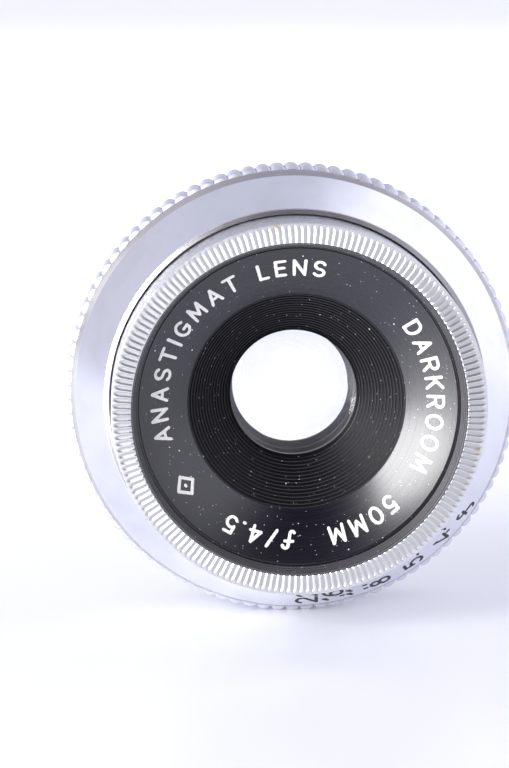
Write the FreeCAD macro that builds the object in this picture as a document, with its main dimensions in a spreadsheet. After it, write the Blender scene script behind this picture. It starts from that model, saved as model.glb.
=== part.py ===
"""A 50 mm f/4.5 enlarging lens, built as the pieces it comes apart into on a bench.

Every turned piece is drawn in the lens's own coordinates: r is the distance from the optical axis
and z is the distance forward of the register face, the shoulder that seats on the lens board.
The document frame has +Z up and the optical axis along Y, with the front of the lens towards -Y.
"""

import FreeCAD, Part
import math
import os

import Sketcher

DIMENSIONS = {
    # scalloped aperture ring
    "rim_radius": 21.5,
    "scallop_root_radius": 21.04,
    "scallop_count": 96,
    "ring_rear": 1.6,
    "ring_chamfer": 0.5,
    "scallop_front": 5.92,
    "bevel_rear": 6.14,
    "cone_rear": 7.37,
    "cone_rear_radius": 20.63,
    "cone_front": 10.93,
    "cone_front_radius": 17.88,
    "lip_front": 10.79,
    "lip_radius": 17.45,
    "lip_depth": 0.4,
    "ring_counterbore_radius": 17.35,
    "ring_shoulder": 6.25,
    # main barrel and its screw thread
    "flange_radius": 20.6,
    "flange_front": 1.45,
    "flange_chamfer": 0.4,
    "thread_radius": 19.5,
    "thread_pitch": 0.977,
    "thread_depth": 0.42,
    "thread_groove_width": 0.45,
    "thread_grooves": 4,
    "thread_lead_in": 0.52,
    "thread_length": 4.2,
    "thread_wall": 1.7,
    "recess_inner_radius": 13.9,
    "recess_floor": -1.2,
    "boss_rear": -2.6,
    "bearing_radius": 15.3,
    "neck_radius": 14.75,
    "neck_front": 10.2,
    "barrel_bore_radius": 12.65,
    "rear_bore_radius": 11.3,
    "iris_seat": -0.2,
    # knurled front bezel
    "bezel_radius": 17.25,
    "bezel_rear": 6.32,
    "bezel_front": 16.94,
    "bezel_edge": 0.18,
    "bezel_step": 13.16,
    "bezel_bore_radius": 15.43,
    "bezel_bore_front": 17.16,
    "knurl_count": 180,
    "knurl_floor": 16.9,
    "knurl_width": 0.39,
    "knurl_height": 0.6,
    # black name ring and ribbed throat
    "name_rim_front": 17.04,
    "name_rim_edge": 0.09,
    "name_rim_foot": 15.23,
    "name_rim_foot_radius": 14.96,
    "name_groove_floor": 14.74,
    "name_face_radius": 14.7,
    "name_face_front": 14.96,
    "name_back_radius": 14.14,
    "name_ring_depth": 1.2,
    "throat_radius": 10.14,
    "throat_front": 12.29,
    "throat_rear_radius": 5.99,
    "throat_rear": 6.93,
    "throat_ribs": 13,
    "throat_rib_depth": 0.14,
    "throat_rib_land": 0.12,
    "front_lip_rear": 6.54,
    "cell_tube_rear": 2.2,
    "cell_tube_radius": 8.4,
    "cell_flange_rear": 6.0,
    "cell_shoulder_radius": 13.95,
    "cell_shoulder_front": 11.0,
    # glass, from the front
    "seat_clearance": 0.05,
    "front_glass_radius": 6.5,
    "front_element_vertex": 7.68,
    "front_element_curve": 16,
    "front_element_rear": 5.35,
    "spacer_rear": 4.75,
    "spacer_front": 5.33,
    "spacer_width": 0.6,
    "second_element_front": 4.72,
    "second_front_vertex": 4.3,
    "second_front_curve": 45,
    "second_rear_vertex": 3.6,
    "second_rear_curve": 22,
    "second_element_rear": 2.8,
    "front_retainer_front": 2.75,
    "front_retainer_width": 1.0,
    "rear_glass_radius": 6.65,
    "rear_inner_front": -0.97,
    "rear_inner_vertex": -1.25,
    "rear_inner_curve": 53,
    "rear_inner_rear": -3.04,
    "doublet_vertex": -2.05,
    "doublet_curve": 19.5,
    "cement_thickness": 0.01,
    "rear_outer_vertex": -5,
    "rear_outer_curve": 21,
    "rear_retainer_front": -4.12,
    "rear_retainer_rear": -5.1,
    "rear_retainer_width": 0.5,
    # rear cell
    "rear_cell_front": -0.3,
    "rear_cell_lip_radius": 5.95,
    "rear_cell_lip_rear": -0.95,
    "rear_cell_step": -4.7,
    "rear_cell_chamfer": 0.5,
    "rear_cell_rear": -6.6,
    "rear_cell_mouth_radius": 8.85,
    "rear_cell_mouth_floor": -5.3,
    # iris
    "blade_count": 8,
    "blade_thickness": 0.08,
    "blade_level_pitch": 0.12,
    "blade_first_level": 0.55,
    "blade_inner_radius": 5.1,
    "blade_outer_radius": 9.3,
    "blade_sweep": 104.0,
    "pivot_circle_radius": 9.85,
    "iris_pin_radius": 0.22,
    "ear_radius": 0.88,
    "drive_arm": 2.8,
    "arm_half_width": 0.5,
    "blade_turn": 24.0,
    "ring_turn": 42.0,
    "cam_disc_rear": 1.6,
    "cam_disc_front": 2.3,
    "cam_skirt_front": 4.4,
    "cam_radius": 12.6,
    "cam_bore_radius": 9.15,
    "cam_skirt_thickness": 0.9,
    "iris_plate_bore_radius": 5.35,
    "iris_plate_thickness": 0.7,
    "iris_retainer_gap": 0.08,
    "iris_retainer_width": 1.5,
    "iris_retainer_thickness": 0.82,
    # drive screw and click stop
    "drive_screw_radius": 0.7,
    "drive_screw_station": 3.3,
    "drive_screw_angle": 200.0,
    "drive_slot_clearance": 0.12,
    "drive_screw_recess": 1.2,
    "screw_slot_width": 0.25,
    "screw_slot_depth": 0.4,
    "click_station": 3.9,
    "click_ball_radius": 0.55,
    "click_travel": 0.18,
    "click_screw_length": 2.1,
    "click_screw_recess": 1.0,
    "running_clearance": 0.03,
    "cut_margin": 0.5,
}

CLICK_ANGLES = {"f4_5": 0.0, "f5_6": 10.5, "f8": 21.0, "f11": 27.8, "f16": 34.6, "f22": 42.0}

# local z becomes the forward direction, -Y; local y becomes up, +Z
LENS_PLACEMENT = FreeCAD.Placement(
    FreeCAD.Vector(0, 0, 0), FreeCAD.Rotation(FreeCAD.Vector(1, 0, 0), 90)
)


def make_sheet(doc):
    """Write the driving dimensions into a spreadsheet, one alias each."""
    sheet = doc.addObject("Spreadsheet::Sheet", "Dims")
    for row, (name, value) in enumerate(DIMENSIONS.items(), start=1):
        sheet.set(f"A{row}", name)
        sheet.set(f"B{row}", str(value))
        sheet.setAlias(f"B{row}", name)
    doc.recompute()
    return sheet


def with_sheet(expression):
    """Put the sheet's name before every alias in an expression."""
    words = []
    for word in expression.split():
        words.append(f"Dims.{word}" if word in DIMENSIONS else word)
    return " ".join(words)


def bind(item, prop, expression):
    item.setExpression(prop, with_sheet(str(expression)))


def value_of(sheet, expression):
    """The present value of an expression, as a plain number."""
    result = sheet.evalExpression(with_sheet(str(expression)))
    return float(getattr(result, "Value", result))


def origin_plane(body, role):
    return next(f for f in body.Origin.OriginFeatures if f.Role == role)


def new_body(doc, label):
    body = doc.addObject("PartDesign::Body", label)
    body.Label = label
    body.Placement = LENS_PLACEMENT
    return body


def new_sketch(body, name, role, offset=None):
    """A sketch on one of the body's origin planes, moved along the plane's normal by an expression."""
    sketch = body.newObject("Sketcher::SketchObject", name)
    sketch.AttachmentSupport = (origin_plane(body, role), [""])
    sketch.MapMode = "FlatFace"
    if offset is not None:
        bind(sketch, ".AttachmentOffset.Base.z", offset)
    return sketch


def locate(sketch, geometry, position, x_expression, y_expression, sheet):
    """Hold one sketch point at the coordinates that two expressions give."""
    for axis, expression in (("DistanceX", x_expression), ("DistanceY", y_expression)):
        value = value_of(sheet, expression)
        index = sketch.addConstraint(
            Sketcher.Constraint(axis, -1, 1, geometry, position, value)
        )
        bind(sketch, f"Constraints[{index}]", expression)


def draw_outline(sketch, outline, sheet):
    """A closed outline of straight lines through (x, y) expression pairs."""
    points = [FreeCAD.Vector(value_of(sheet, x), value_of(sheet, y), 0) for x, y in outline]
    count = len(points)
    for i in range(count):
        sketch.addGeometry(Part.LineSegment(points[i], points[(i + 1) % count]), False)
    for i in range(count):
        sketch.addConstraint(Sketcher.Constraint("Coincident", i, 2, (i + 1) % count, 1))
    for i, (x, y) in enumerate(outline):
        locate(sketch, i, 1, x, y, sheet)


def draw_circle(sketch, x, y, radius, sheet):
    centre = FreeCAD.Vector(value_of(sheet, x), value_of(sheet, y), 0)
    size = value_of(sheet, radius)
    circle = sketch.addGeometry(Part.Circle(centre, FreeCAD.Vector(0, 0, 1), size), False)
    locate(sketch, circle, 3, x, y, sheet)
    index = sketch.addConstraint(Sketcher.Constraint("Radius", circle, size))
    bind(sketch, f"Constraints[{index}]", radius)


def draw_arc_slot(sketch, centre, radius, half_width, start, end):
    """A slot that follows an arc about centre, with round ends; angles are in radians."""
    axis = FreeCAD.Vector(0, 0, 1)
    outer = Part.Circle(centre, axis, radius + half_width)
    inner = Part.Circle(centre, axis, radius - half_width)
    ends = [
        centre + FreeCAD.Vector(radius * math.cos(a), radius * math.sin(a), 0)
        for a in (start, end)
    ]
    start_cap = Part.Circle(ends[0], axis, half_width)
    end_cap = Part.Circle(ends[1], axis, half_width)
    pieces = [
        Part.ArcOfCircle(outer, start, end),
        Part.ArcOfCircle(end_cap, end, end + math.pi),
        Part.ArcOfCircle(inner, start, end),
        Part.ArcOfCircle(start_cap, start + math.pi, start + 2 * math.pi),
    ]
    first = sketch.GeometryCount
    for piece in pieces:
        sketch.addGeometry(piece, False)
    for a, a_end, b, b_end in ((0, 2, 1, 1), (1, 2, 2, 2), (2, 1, 3, 1), (3, 2, 0, 1)):
        sketch.addConstraint(
            Sketcher.Constraint("Coincident", first + a, a_end, first + b, b_end)
        )


def revolve(body, sketch):
    """Turn a profile a full circle about the optical axis."""
    feature = body.newObject("PartDesign::Revolution", sketch.Name + "_turn")
    feature.Profile = sketch
    feature.ReferenceAxis = (sketch, ["V_Axis"])
    feature.Angle = 360
    sketch.Visibility = False
    return feature


def turned(doc, sheet, label, outline):
    """A body of revolution from its (r, z) outline."""
    body = new_body(doc, label)
    sketch = new_sketch(body, label + "_outline", "XZ_Plane")
    draw_outline(sketch, outline, sheet)
    revolve(body, sketch)
    return body


def pad(body, sketch, length, reverse=False):
    feature = body.newObject("PartDesign::Pad", sketch.Name + "_pad")
    feature.Profile = sketch
    feature.Reversed = reverse
    bind(feature, "Length", length)
    return feature


def pocket(body, sketch, length, reverse=False):
    """Cut a sketch to a depth; the sketch's positive normal is the way out unless reversed."""
    feature = body.newObject("PartDesign::Pocket", sketch.Name + "_cut")
    feature.Profile = sketch
    feature.Reversed = reverse
    bind(feature, "Length", length)
    return feature


def repeat_round(body, feature, name, count):
    """Repeat a cut evenly round the optical axis."""
    pattern = body.newObject("PartDesign::PolarPattern", name)
    pattern.Originals = [feature]
    pattern.Axis = (origin_plane(body, "Z_Axis"), [""])
    pattern.Angle = 360
    bind(pattern, "Occurrences", count)
    body.Tip = pattern
    return pattern


def radial_hole(body, sheet, name, angle, station, radius, inner, outer):
    """A round hole on a radius: angle in degrees about the axis, station forward of the register."""
    feature = body.newObject("PartDesign::SubtractiveCylinder", name)
    bind(feature, "Radius", radius)
    bind(feature, "Height", f"{outer} - ( {inner} )")
    turn = math.radians(value_of(sheet, angle))
    start = value_of(sheet, inner)
    direction = FreeCAD.Vector(math.cos(turn), math.sin(turn), 0)
    feature.Placement = FreeCAD.Placement(
        direction * start + FreeCAD.Vector(0, 0, value_of(sheet, station)),
        FreeCAD.Rotation(FreeCAD.Vector(0, 0, 1), direction),
    )
    return feature


def make_main_barrel(doc, sheet):
    """Mount thread, register flange, bearing for the aperture ring and neck for the bezel."""
    outline = [
        ("rear_bore_radius", "boss_rear"),
        ("recess_inner_radius", "boss_rear"),
        ("recess_inner_radius", "recess_floor"),
        ("thread_radius - thread_wall", "recess_floor"),
        ("thread_radius - thread_wall", "- thread_length"),
        ("thread_radius", "- thread_length"),
    ]
    for i in reversed(range(DIMENSIONS["thread_grooves"])):
        front = f"- thread_pitch * {i} - thread_lead_in"
        rear = f"{front} - thread_groove_width"
        middle = f"{front} - thread_groove_width / 2"
        outline.append(("thread_radius", rear))
        outline.append(("thread_radius - thread_depth", middle))
        outline.append(("thread_radius", front))
    outline += [
        ("thread_radius", "0"),
        ("flange_radius", "0"),
        ("flange_radius", "flange_front - flange_chamfer"),
        ("flange_radius - flange_chamfer", "flange_front"),
        ("bearing_radius", "flange_front"),
        ("bearing_radius", "bezel_rear"),
        ("neck_radius", "bezel_rear"),
        ("neck_radius", "neck_front"),
        ("barrel_bore_radius", "neck_front"),
        ("barrel_bore_radius", "iris_seat"),
        ("rear_bore_radius", "iris_seat"),
    ]
    body = turned(doc, sheet, "main_barrel", outline)
    cut_drive_slot(body, sheet)
    cut_click_dimples(body, sheet)
    return body


def cut_drive_slot(body, sheet):
    """The slot round part of the wall that the drive screw travels in; its ends are the stops."""
    inner = value_of(sheet, "barrel_bore_radius - cut_margin")
    outer = value_of(sheet, "bearing_radius + cut_margin")
    screw = value_of(sheet, "drive_screw_angle")
    turn = value_of(sheet, "ring_turn")
    half_width = "drive_screw_radius + drive_slot_clearance"
    margin = math.degrees(value_of(sheet, f"( {half_width} ) / barrel_bore_radius"))
    start = math.radians(screw - margin)
    end = math.radians(screw + turn + margin)
    sketch = new_sketch(
        body, "drive_slot", "XY_Plane", f"drive_screw_station - ( {half_width} )"
    )
    axis = FreeCAD.Vector(0, 0, 1)
    zero = FreeCAD.Vector(0, 0, 0)

    def point(radius, angle):
        return FreeCAD.Vector(radius * math.cos(angle), radius * math.sin(angle), 0)

    sketch.addGeometry(Part.ArcOfCircle(Part.Circle(zero, axis, outer), start, end), False)
    sketch.addGeometry(Part.LineSegment(point(outer, end), point(inner, end)), False)
    sketch.addGeometry(Part.ArcOfCircle(Part.Circle(zero, axis, inner), start, end), False)
    sketch.addGeometry(Part.LineSegment(point(inner, start), point(outer, start)), False)
    for a, a_end, b, b_end in ((0, 2, 1, 1), (1, 2, 2, 2), (2, 1, 3, 1), (3, 2, 0, 1)):
        sketch.addConstraint(Sketcher.Constraint("Coincident", a, a_end, b, b_end))
    pocket(body, sketch, f"2 * ( {half_width} )", reverse=True)


def cut_click_dimples(body, sheet):
    """Shallow round dimples in the bearing, one for each marked aperture."""
    centre_radius = value_of(
        sheet, "bearing_radius + running_clearance + click_ball_radius - click_travel"
    )
    station = value_of(sheet, "click_station")
    for name, angle in CLICK_ANGLES.items():
        dimple = body.newObject("PartDesign::SubtractiveSphere", "dimple_" + name)
        bind(dimple, "Radius", "click_ball_radius + running_clearance")
        turn = math.radians(180 + angle)
        dimple.Placement = FreeCAD.Placement(
            FreeCAD.Vector(
                centre_radius * math.cos(turn), centre_radius * math.sin(turn), station
            ),
            FreeCAD.Rotation(),
        )


def make_front_bezel(doc, sheet):
    """The bright sleeve in front of the aperture ring, with a knurled front face."""
    body = turned(
        doc,
        sheet,
        "front_bezel",
        [
            ("neck_radius", "bezel_rear"),
            ("bezel_radius", "bezel_rear"),
            ("bezel_radius", "bezel_front - bezel_edge"),
            ("bezel_radius - bezel_edge", "bezel_front"),
            ("bezel_bore_radius", "bezel_bore_front"),
            ("bezel_bore_radius", "bezel_step"),
            ("neck_radius", "bezel_step"),
        ],
    )
    sketch = new_sketch(body, "knurl_vee", "YZ_Plane", "bezel_bore_radius - cut_margin")
    draw_outline(
        sketch,
        [
            ("0", "knurl_floor"),
            ("knurl_width", "knurl_floor + knurl_height"),
            ("- knurl_width", "knurl_floor + knurl_height"),
        ],
        sheet,
    )
    vee = pocket(body, sketch, "bezel_radius - bezel_bore_radius + 2 * cut_margin", reverse=True)
    repeat_round(body, vee, "knurl", "knurl_count")
    return body


def make_name_ring(doc, sheet):
    """The dished black ring that carries the lettering, with its raised rim."""
    return turned(
        doc,
        sheet,
        "name_ring",
        [
            ("throat_radius", "throat_front"),
            ("name_face_radius", "name_face_front"),
            ("name_face_radius", "name_groove_floor"),
            ("name_rim_foot_radius", "name_groove_floor"),
            ("name_rim_foot_radius", "name_rim_foot"),
            ("bezel_bore_radius - seat_clearance - name_rim_edge", "name_rim_front"),
            ("bezel_bore_radius - seat_clearance", "name_rim_front"),
            ("bezel_bore_radius - seat_clearance", "bezel_step"),
            ("name_back_radius", "bezel_step"),
            ("throat_radius", "throat_front - name_ring_depth"),
        ],
    )


def make_front_cell(doc, sheet):
    """The ribbed throat and the tube that holds the two front elements."""
    ribs = DIMENSIONS["throat_ribs"]
    outline = []
    mouth = "throat_radius - seat_clearance"
    radius_step = f"( {mouth} - throat_rear_radius ) / throat_ribs"
    depth_step = "( throat_front - throat_rear ) / throat_ribs"
    for i in range(ribs):
        outline.append(
            (
                f"{mouth} - {i} * {radius_step}",
                f"throat_front - {i} * {depth_step}",
            )
        )
        outline.append(
            (
                f"{mouth} - {i} * {radius_step} - throat_rib_depth",
                f"throat_front - {i + 1} * {depth_step} + throat_rib_land",
            )
        )
    outline += [
        ("throat_rear_radius", "throat_rear"),
        ("throat_rear_radius", "front_lip_rear"),
        ("front_glass_radius + seat_clearance", "front_lip_rear"),
        ("front_glass_radius + seat_clearance", "cell_tube_rear"),
        ("cell_tube_radius", "cell_tube_rear"),
        ("cell_tube_radius", "cell_flange_rear"),
        ("barrel_bore_radius", "cell_flange_rear"),
        ("barrel_bore_radius", "neck_front"),
        ("cell_shoulder_radius", "neck_front"),
        ("cell_shoulder_radius", "cell_shoulder_front"),
        ("throat_radius - running_clearance", "cell_shoulder_front"),
        ("throat_radius - running_clearance", "throat_front"),
    ]
    return turned(doc, sheet, "front_cell", outline)


def make_glass(doc, label, radius, front, rear, faces):
    """A glass element: a disc between two heights, limited by spherical faces.

    Each face is (kind, vertex, curvature radius, side): a convex face keeps what lies inside its
    sphere, a concave face loses it. Side is +1 where the sphere's centre is forward of the vertex.
    """
    disc = doc.addObject("Part::Cylinder", label + "_disc")
    bind(disc, "Radius", radius)
    bind(disc, "Height", f"{front} - ( {rear} )")
    bind(disc, ".Placement.Base.z", rear)
    kept = [disc]
    removed = []
    for number, (kind, vertex, curve, side) in enumerate(faces, start=1):
        ball = doc.addObject("Part::Sphere", f"{label}_face_{number}")
        bind(ball, "Radius", curve)
        bind(ball, ".Placement.Base.z", f"{vertex} + {side} * {curve}")
        (kept if kind == "convex" else removed).append(ball)
    shape = disc
    if len(kept) > 1:
        shape = doc.addObject("Part::MultiCommon", label + "_common")
        shape.Shapes = kept
    for number, ball in enumerate(removed, start=1):
        cut = doc.addObject("Part::Cut", f"{label}_cut_{number}")
        cut.Base = shape
        cut.Tool = ball
        shape = cut
    shape.Label = label
    shape.Placement = LENS_PLACEMENT
    return shape


def make_front_glass(doc):
    """A plano-convex front element and the biconcave element behind it."""
    front = make_glass(
        doc,
        "front_element",
        "front_glass_radius",
        "front_element_vertex + cut_margin",
        "front_element_rear",
        [("convex", "front_element_vertex", "front_element_curve", -1)],
    )
    second = make_glass(
        doc,
        "second_element",
        "front_glass_radius",
        "second_element_front",
        "second_element_rear",
        [
            ("concave", "second_front_vertex", "second_front_curve", 1),
            ("concave", "second_rear_vertex", "second_rear_curve", -1),
        ],
    )
    return [front, second]


def make_rear_glass(doc):
    """The two halves of the rear doublet, which meet on one spherical face."""
    inner = make_glass(
        doc,
        "rear_inner_element",
        "rear_glass_radius",
        "rear_inner_front",
        "rear_inner_rear",
        [
            ("concave", "rear_inner_vertex", "rear_inner_curve", 1),
            ("concave", "doublet_vertex", "doublet_curve", -1),
        ],
    )
    outer = make_glass(
        doc,
        "rear_outer_element",
        "rear_glass_radius",
        "doublet_vertex + cut_margin",
        "rear_outer_vertex - cut_margin",
        [
            ("convex", "doublet_vertex - cement_thickness", "doublet_curve", -1),
            ("convex", "rear_outer_vertex", "rear_outer_curve", 1),
        ],
    )
    return [inner, outer]


def make_flat_ring(doc, sheet, label, inner, outer, rear, front):
    """A ring with a plain rectangular section."""
    corners = [(inner, rear), (outer, rear), (outer, front), (inner, front)]
    return turned(doc, sheet, label, corners)


def make_lens_rings(doc, sheet):
    """The spacer between the front elements and the screwed rings behind both groups."""
    front_seat = "front_glass_radius + seat_clearance"
    rear_seat = "rear_glass_radius + seat_clearance"
    return [
        make_flat_ring(
            doc, sheet, "element_spacer",
            "front_glass_radius - spacer_width", "front_glass_radius",
            "spacer_rear", "spacer_front",
        ),
        make_flat_ring(
            doc, sheet, "front_retaining_ring",
            "front_glass_radius - front_retainer_width", front_seat,
            "cell_tube_rear", "front_retainer_front",
        ),
        make_flat_ring(
            doc, sheet, "rear_retaining_ring",
            "rear_glass_radius - rear_retainer_width", rear_seat,
            "rear_retainer_rear", "rear_retainer_front",
        ),
    ]


def make_rear_cell(doc, sheet):
    """The tube screwed in from behind that holds the rear doublet."""
    return turned(
        doc, sheet, "rear_cell",
        [
            ("rear_cell_lip_radius", "rear_cell_front"),
            ("rear_bore_radius", "rear_cell_front"),
            ("rear_bore_radius", "rear_cell_step"),
            ("rear_bore_radius - rear_cell_chamfer", "rear_cell_step - rear_cell_chamfer"),
            ("rear_bore_radius - rear_cell_chamfer", "rear_cell_rear"),
            ("rear_cell_mouth_radius", "rear_cell_rear"),
            ("rear_glass_radius + seat_clearance", "rear_cell_mouth_floor"),
            ("rear_glass_radius + seat_clearance", "rear_cell_lip_rear"),
            ("rear_cell_lip_radius", "rear_cell_lip_rear"),
        ],
    )


def make_aperture_ring(doc, sheet):
    """The scalloped ring with the sloping scale face, free to turn on the barrel."""
    body = turned(
        doc,
        sheet,
        "aperture_ring",
        [
            ("bearing_radius + running_clearance", "ring_rear"),
            ("rim_radius - ring_chamfer", "ring_rear"),
            ("rim_radius", "ring_rear + ring_chamfer"),
            ("rim_radius", "scallop_front"),
            ("scallop_root_radius", "bevel_rear"),
            ("cone_rear_radius", "cone_rear"),
            ("cone_front_radius", "cone_front"),
            ("lip_radius", "lip_front"),
            ("ring_counterbore_radius", "lip_front - lip_depth"),
            ("ring_counterbore_radius", "ring_shoulder"),
            ("bearing_radius + running_clearance", "ring_shoulder"),
        ],
    )
    drill_ring(body, sheet)
    cut_scallops(body, sheet)
    return body


def drill_ring(body, sheet):
    """Radial holes for the drive screw and for the click ball with its spring."""
    radial_hole(
        body, sheet, "drive_screw_hole", "drive_screw_angle", "drive_screw_station",
        "drive_screw_radius", "bearing_radius - cut_margin", "rim_radius + cut_margin",
    )
    radial_hole(
        body, sheet, "click_hole", "180", "click_station",
        "click_ball_radius + running_clearance", "bearing_radius - cut_margin",
        "rim_radius + cut_margin",
    )


def cut_scallops(body, sheet):
    """Narrow valleys between rounded lobes: a two-sided cutter with convex flanks."""
    half_pitch = math.pi / DIMENSIONS["scallop_count"]
    root = value_of(sheet, "scallop_root_radius")
    tip = value_of(sheet, "rim_radius")
    flank_height = 0.72
    flank_width = 0.3
    sketch = new_sketch(body, "scallop_valley", "XY_Plane")
    valley = FreeCAD.Vector(root, 0, 0)
    middle = root + flank_height * (tip - root)
    crest = [
        FreeCAD.Vector(tip * math.cos(s * half_pitch), tip * math.sin(s * half_pitch), 0)
        for s in (-1, 1)
    ]
    flank = [
        FreeCAD.Vector(middle, s * flank_width * tip * half_pitch, 0) for s in (-1, 1)
    ]
    sketch.addGeometry(Part.Arc(valley, flank[1], crest[1]), False)
    outer = FreeCAD.Vector(tip + value_of(sheet, "cut_margin"), 0, 0)
    sketch.addGeometry(Part.LineSegment(crest[1], outer), False)
    sketch.addGeometry(Part.LineSegment(outer, crest[0]), False)
    sketch.addGeometry(Part.Arc(crest[0], flank[0], valley), False)
    valley_cut = pocket(body, sketch, "bevel_rear + cut_margin", reverse=True)
    repeat_round(body, valley_cut, "scallops", "scallop_count")


def drive_pin_place(sheet, ring_angle):
    """Where a blade's drive pin stands, seen from the cam ring, when the ring has turned."""
    pivot = value_of(sheet, "pivot_circle_radius")
    arm = value_of(sheet, "drive_arm")
    share = ring_angle / value_of(sheet, "ring_turn")
    blade_angle = math.radians(-90 + share * value_of(sheet, "blade_turn"))
    x = pivot + arm * math.cos(blade_angle)
    y = arm * math.sin(blade_angle)
    back = -math.radians(ring_angle)
    return FreeCAD.Vector(
        x * math.cos(back) - y * math.sin(back), x * math.sin(back) + y * math.cos(back), 0
    )


def make_cam_ring(doc, sheet):
    """The ring whose slots move the blades; its skirt takes the drive screw."""
    body = turned(
        doc,
        sheet,
        "cam_ring",
        [
            ("cam_bore_radius", "cam_disc_rear"),
            ("cam_radius", "cam_disc_rear"),
            ("cam_radius", "cam_skirt_front"),
            ("cam_radius - cam_skirt_thickness", "cam_skirt_front"),
            ("cam_radius - cam_skirt_thickness", "cam_disc_front"),
            ("cam_bore_radius", "cam_disc_front"),
        ],
    )
    radial_hole(
        body, sheet, "skirt_hole", "drive_screw_angle", "drive_screw_station",
        "drive_screw_radius", "cam_radius - 2 * cam_skirt_thickness", "cam_radius + cut_margin",
    )
    turn = value_of(sheet, "ring_turn")
    places = [drive_pin_place(sheet, turn * share) for share in (0, 0.5, 1)]
    path = Part.Arc(places[2], places[1], places[0]).toShape().Curve
    angles = sorted(
        math.atan2(p.y - path.Center.y, p.x - path.Center.x) for p in (places[0], places[2])
    )
    sketch = new_sketch(body, "cam_slot", "XY_Plane", "cam_disc_rear - cut_margin")
    half_width = value_of(sheet, "iris_pin_radius + 1.5 * running_clearance")
    reach = value_of(sheet, "2 * running_clearance") / path.Radius
    draw_arc_slot(
        sketch, path.Center, path.Radius, half_width, angles[0] - reach, angles[1] + reach
    )
    slot = pocket(body, sketch, "cam_disc_front - cam_disc_rear + 1.5 * cut_margin", reverse=True)
    repeat_round(body, slot, "cam_slots", "blade_count")
    return body


def make_iris_base_plate(doc, sheet):
    """The fixed plate that the blades pivot in."""
    body = turned(
        doc,
        sheet,
        "iris_base_plate",
        [
            ("iris_plate_bore_radius", "iris_seat"),
            ("barrel_bore_radius", "iris_seat"),
            ("barrel_bore_radius", "iris_seat + iris_plate_thickness"),
            ("iris_plate_bore_radius", "iris_seat + iris_plate_thickness"),
        ],
    )
    sketch = new_sketch(body, "pivot_hole", "XY_Plane", "iris_seat - cut_margin")
    draw_circle(
        sketch, "pivot_circle_radius", "0", "iris_pin_radius + running_clearance", sheet
    )
    hole = pocket(body, sketch, "iris_plate_thickness + 2 * cut_margin", reverse=True)
    repeat_round(body, hole, "pivot_holes", "blade_count")
    return body


def make_iris_blade(doc, sheet, number):
    """One thin blade on its own level, with a pivot pin behind it and a drive pin in front."""
    label = f"iris_blade_{number}"
    level = f"blade_first_level + {number - 1} * blade_level_pitch"
    body = new_body(doc, label)
    turn = FreeCAD.Rotation(
        FreeCAD.Vector(0, 0, 1), 360.0 / DIMENSIONS["blade_count"] * (number - 1)
    )
    body.Placement = LENS_PLACEMENT.multiply(FreeCAD.Placement(FreeCAD.Vector(), turn))

    leaf = new_sketch(body, label + "_leaf", "XY_Plane", level)
    inner = value_of(sheet, "blade_inner_radius")
    outer = value_of(sheet, "blade_outer_radius")
    sweep = math.radians(value_of(sheet, "blade_sweep"))
    draw_arc_slot(leaf, FreeCAD.Vector(), (inner + outer) / 2, (outer - inner) / 2, 0, sweep)
    pad(body, leaf, "blade_thickness")

    ear = new_sketch(body, label + "_ear", "XY_Plane", level)
    draw_circle(ear, "pivot_circle_radius", "0", "ear_radius", sheet)
    pad(body, ear, "blade_thickness")

    arm = new_sketch(body, label + "_arm", "XY_Plane", level)
    near = "pivot_circle_radius - arm_half_width"
    far = "pivot_circle_radius + arm_half_width"
    tip = "- drive_arm - arm_half_width"
    draw_outline(arm, [(near, "0"), (near, tip), (far, tip), (far, "0")], sheet)
    pad(body, arm, "blade_thickness")

    pivot = new_sketch(body, label + "_pivot", "XY_Plane", level)
    draw_circle(pivot, "pivot_circle_radius", "0", "iris_pin_radius", sheet)
    pad(body, pivot, f"{level} - iris_seat - seat_clearance", reverse=True)

    drive = new_sketch(body, label + "_drive", "XY_Plane", level)
    draw_circle(drive, "pivot_circle_radius", "- drive_arm", "iris_pin_radius", sheet)
    pad(body, drive, f"cam_disc_front - 2 * seat_clearance - ( {level} )")
    return body


def make_iris_retaining_ring(doc, sheet):
    """The ring that keeps the cam ring down on its seat."""
    rear = "cam_skirt_front + iris_retainer_gap"
    return make_flat_ring(
        doc, sheet, "iris_retaining_ring",
        "cam_radius - iris_retainer_width", "barrel_bore_radius",
        rear, f"{rear} + iris_retainer_thickness",
    )


def make_radial_cylinder(doc, sheet, label, radius, inner, outer, station, angle):
    """A plain pin on a radius, as a Part cylinder placed by formula."""
    pin = doc.addObject("Part::Cylinder", label)
    pin.Label = label
    bind(pin, "Radius", radius)
    bind(pin, "Height", f"{outer} - ( {inner} )")
    turn = math.radians(value_of(sheet, angle))
    direction = FreeCAD.Vector(math.cos(turn), math.sin(turn), 0)
    local = FreeCAD.Placement(
        direction * value_of(sheet, inner) + FreeCAD.Vector(0, 0, value_of(sheet, station)),
        FreeCAD.Rotation(FreeCAD.Vector(0, 0, 1), direction),
    )
    pin.Placement = LENS_PLACEMENT.multiply(local)
    return pin


def make_headless_screw(doc, sheet, label, radius, inner, outer, station, angle):
    """A headless screw on a radius, with a slot for the blade of a screwdriver."""
    shank = make_radial_cylinder(
        doc, sheet, label + "_shank", radius, inner, outer, station, angle
    )
    slot = doc.addObject("Part::Box", label + "_slot")
    bind(slot, "Length", f"( {radius} ) * 3")
    bind(slot, "Width", "screw_slot_width")
    bind(slot, "Height", "screw_slot_depth + cut_margin")
    corner = FreeCAD.Vector(
        value_of(sheet, f"( {radius} ) * -1.5"),
        value_of(sheet, "screw_slot_width * -0.5"),
        value_of(sheet, f"{outer} - ( {inner} ) - screw_slot_depth"),
    )
    slot.Placement = shank.Placement.multiply(FreeCAD.Placement(corner, FreeCAD.Rotation()))
    screw = doc.addObject("Part::Cut", label)
    screw.Label = label
    screw.Base = shank
    screw.Tool = slot
    return screw


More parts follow.
